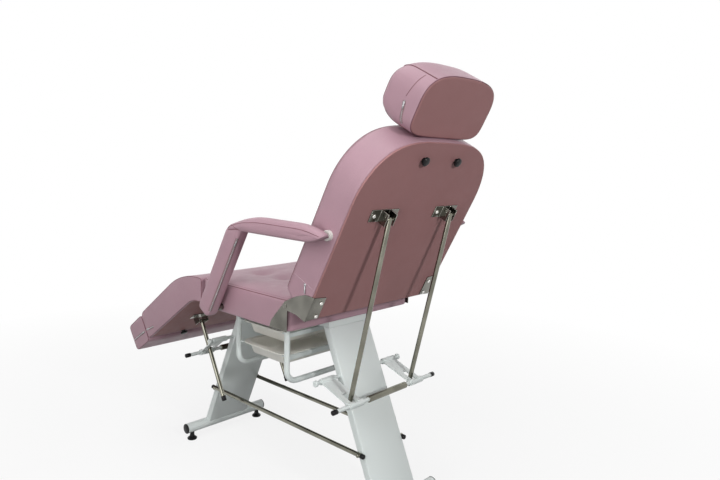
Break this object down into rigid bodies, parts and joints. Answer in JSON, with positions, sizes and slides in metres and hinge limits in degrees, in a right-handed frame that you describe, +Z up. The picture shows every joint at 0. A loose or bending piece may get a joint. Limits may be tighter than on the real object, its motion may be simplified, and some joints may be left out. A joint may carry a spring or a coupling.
{
  "type": "treatment couch",
  "caption": "Upholstered treatment couch with reclining back, folding legrest, swinging armrests, sliding headrest and foot pad, and storage trays on a splayed steel base",
  "frame": {"origin": "middle of the bounding box at floor level", "axes": "+Z up, -Y towards the foot end, +X towards the sitter's left"},
  "size_m": [0.678, 1.3452, 1.3664],
  "materials": {
    "pink_vinyl": "satin",
    "back_cover": "satin",
    "white_enamel": "satin",
    "chrome": "polished",
    "polished_steel": "satin",
    "ivory_plastic": "satin",
    "black_plastic": "satin",
    "white_nylon": "satin"
  },
  "bodies": {
    "base": {"front_leg": "white_enamel", "rear_leg": "white_enamel", "front_foot_tube": "white_enamel", "rear_foot_tube": "white_enamel", "front_foot_cap_left": "black_plastic", "front_foot_cap_right": "black_plastic", "rear_foot_cap_left": "black_plastic", "rear_foot_cap_right": "black_plastic", "stretcher_left": "chrome", "stretcher_right": "chrome", "seat_frame": "white_enamel", "seat_cushion": "pink_vinyl", "front_hanger": "white_enamel", "rear_hanger": "white_enamel", "front_release_rod": "white_enamel", "rear_release_rod": "white_enamel", "seat_hinge_left": "polished_steel", "seat_hinge_right": "polished_steel", "legrest_hinge_pin": "polished_steel", "arm_lug_left": "polished_steel", "arm_lug_right": "polished_steel"},
    "backrest": {"backrest_cushion": "pink_vinyl", "backrest_panel": "back_cover", "back_hinge_left": "polished_steel", "back_hinge_right": "polished_steel", "back_bracket_left": "polished_steel", "back_bracket_right": "polished_steel", "arm_bush_left": "white_nylon", "arm_bush_right": "white_nylon"},
    "headrest": {"headrest_cushion": "pink_vinyl"},
    "clamp_knob_left": {"clamp_knob_left": "black_plastic"},
    "clamp_knob_right": {"clamp_knob_right": "black_plastic"},
    "back_strut_left": {"back_strut_left": "chrome"},
    "back_strut_right": {"back_strut_right": "chrome"},
    "rear_release": {"rear_release_bar": "white_enamel", "rear_release_sleeve": "chrome", "rear_release_plate_left": "white_enamel", "rear_release_plate_right": "white_enamel"},
    "legrest": {"legrest_cushion": "pink_vinyl", "leg_bracket_left": "polished_steel", "leg_bracket_right": "polished_steel"},
    "leg_strut_left": {"leg_strut_left": "chrome"},
    "leg_strut_right": {"leg_strut_right": "chrome"},
    "front_release": {"front_release_bar": "white_enamel", "front_release_sleeve": "chrome", "front_release_plate_left": "white_enamel", "front_release_plate_right": "white_enamel"},
    "foot_pad": {"foot_pad": "pink_vinyl"},
    "foot_knob": {"foot_knob": "black_plastic"},
    "arm_post_left": {"arm_post_left": "pink_vinyl"},
    "arm_post_right": {"arm_post_right": "pink_vinyl"},
    "arm_pad_left": {"arm_pad_left": "pink_vinyl"},
    "arm_pad_right": {"arm_pad_right": "pink_vinyl"},
    "upper_tray": {"upper_tray": "ivory_plastic"},
    "lower_tray": {"lower_tray": "ivory_plastic"},
    "front_leveller_left": {"front_leveller_left": "black_plastic"},
    "front_leveller_right": {"front_leveller_right": "black_plastic"},
    "rear_leveller_left": {"rear_leveller_left": "black_plastic"},
    "rear_leveller_right": {"rear_leveller_right": "black_plastic"}
  },
  "joints": [
    {"name": "recline", "type": "hinge", "parent": "base", "child": "backrest", "pos_m": [0, 0.27801, 0.683], "axis": [-1, 0, 0], "range_deg": [0, 62]},
    {"name": "headrest_slide", "type": "slide", "parent": "backrest", "child": "headrest", "axis": [0, 0.458, 0.8889], "range_m": [0, 0.08]},
    {"name": "clamp_knob_left_turn", "type": "hinge", "parent": "backrest", "child": "clamp_knob_left", "pos_m": [0.076, 0.59334, 1.10853], "axis": [0, 0.8889, -0.458], "range_deg": [0, 270]},
    {"name": "clamp_knob_right_turn", "type": "hinge", "parent": "backrest", "child": "clamp_knob_right", "pos_m": [-0.076, 0.59334, 1.10853], "axis": [0, 0.8889, -0.458], "range_deg": [0, 270]},
    {"name": "back_strut_left_swing", "type": "hinge", "parent": "backrest", "child": "back_strut_left", "pos_m": [0.1425, 0.53699, 0.94678], "axis": [-1, 0, 0], "range_deg": [-22.5, 0]},
    {"name": "back_strut_right_swing", "type": "hinge", "parent": "backrest", "child": "back_strut_right", "pos_m": [-0.1425, 0.53699, 0.94678], "axis": [-1, 0, 0], "range_deg": [-22.5, 0]},
    {"name": "rear_release_lift", "type": "hinge", "parent": "base", "child": "rear_release", "pos_m": [0, 0.31228, 0.4357], "axis": [1, 0, 0], "range_deg": [0, 6]},
    {"name": "legrest_fold", "type": "hinge", "parent": "base", "child": "legrest", "pos_m": [0, -0.15979, 0.688], "axis": [-1, 0, 0], "range_deg": [0, 34]},
    {"name": "leg_strut_left_swing", "type": "hinge", "parent": "legrest", "child": "leg_strut_left", "pos_m": [0.15, -0.3628, 0.4868], "axis": [-1, 0, 0], "range_deg": [-37, 0]},
    {"name": "leg_strut_right_swing", "type": "hinge", "parent": "legrest", "child": "leg_strut_right", "pos_m": [-0.15, -0.3628, 0.4868], "axis": [-1, 0, 0], "range_deg": [-37, 0]},
    {"name": "front_release_lift", "type": "hinge", "parent": "base", "child": "front_release", "pos_m": [0, -0.24685, 0.4395], "axis": [-1, 0, 0], "range_deg": [0, 6]},
    {"name": "foot_pad_slide", "type": "slide", "parent": "legrest", "child": "foot_pad", "axis": [0, -0.8271, -0.5621], "range_m": [0, 0.12]},
    {"name": "foot_knob_turn", "type": "hinge", "parent": "legrest", "child": "foot_knob", "pos_m": [0.141, -0.5078, 0.41728], "axis": [0, 0.5621, -0.8271], "range_deg": [0, 270]},
    {"name": "arm_post_left_swing", "type": "hinge", "parent": "base", "child": "arm_post_left", "pos_m": [0.297, -0.07969, 0.6286], "axis": [-1, 0, 0], "range_deg": [0, 62]},
    {"name": "arm_post_right_swing", "type": "hinge", "parent": "base", "child": "arm_post_right", "pos_m": [-0.297, -0.07969, 0.6286], "axis": [-1, 0, 0], "range_deg": [0, 62]},
    {"name": "arm_pad_left_level", "type": "hinge", "parent": "arm_post_left", "child": "arm_pad_left", "pos_m": [0.297, 0.09331, 0.8506], "axis": [-1, 0, 0], "range_deg": [-62, 0]},
    {"name": "arm_pad_right_level", "type": "hinge", "parent": "arm_post_right", "child": "arm_pad_right", "pos_m": [-0.297, 0.09331, 0.8506], "axis": [-1, 0, 0], "range_deg": [-62, 0]},
    {"name": "upper_tray_slide", "type": "slide", "parent": "base", "child": "upper_tray", "axis": [1, 0, 0], "range_m": [0, 0.24]},
    {"name": "lower_tray_slide", "type": "slide", "parent": "base", "child": "lower_tray", "axis": [1, 0, 0], "range_m": [0, 0.24]},
    {"name": "front_leveller_left_turn", "type": "hinge", "parent": "base", "child": "front_leveller_left", "pos_m": [0.157, -0.42324, 0], "axis": [0, 0, 1], "continuous": true},
    {"name": "front_leveller_right_turn", "type": "hinge", "parent": "base", "child": "front_leveller_right", "pos_m": [-0.157, -0.42324, 0], "axis": [0, 0, 1], "continuous": true},
    {"name": "rear_leveller_left_turn", "type": "hinge", "parent": "base", "child": "rear_leveller_left", "pos_m": [0.157, 0.48696, 0], "axis": [0, 0, 1], "continuous": true},
    {"name": "rear_leveller_right_turn", "type": "hinge", "parent": "base", "child": "rear_leveller_right", "pos_m": [-0.157, 0.48696, 0], "axis": [0, 0, 1], "continuous": true}
  ],
  "couplings": [
    {"joint": "back_strut_left_swing", "follows": "recline", "ratio": -0.36},
    {"joint": "back_strut_right_swing", "follows": "recline", "ratio": -0.36},
    {"joint": "arm_post_left_swing", "follows": "recline", "ratio": 1},
    {"joint": "arm_post_right_swing", "follows": "recline", "ratio": 1},
    {"joint": "arm_pad_left_level", "follows": "recline", "ratio": -1},
    {"joint": "arm_pad_right_level", "follows": "recline", "ratio": -1},
    {"joint": "leg_strut_left_swing", "follows": "legrest_fold", "ratio": -1.08},
    {"joint": "leg_strut_right_swing", "follows": "legrest_fold", "ratio": -1.08}
  ]
}
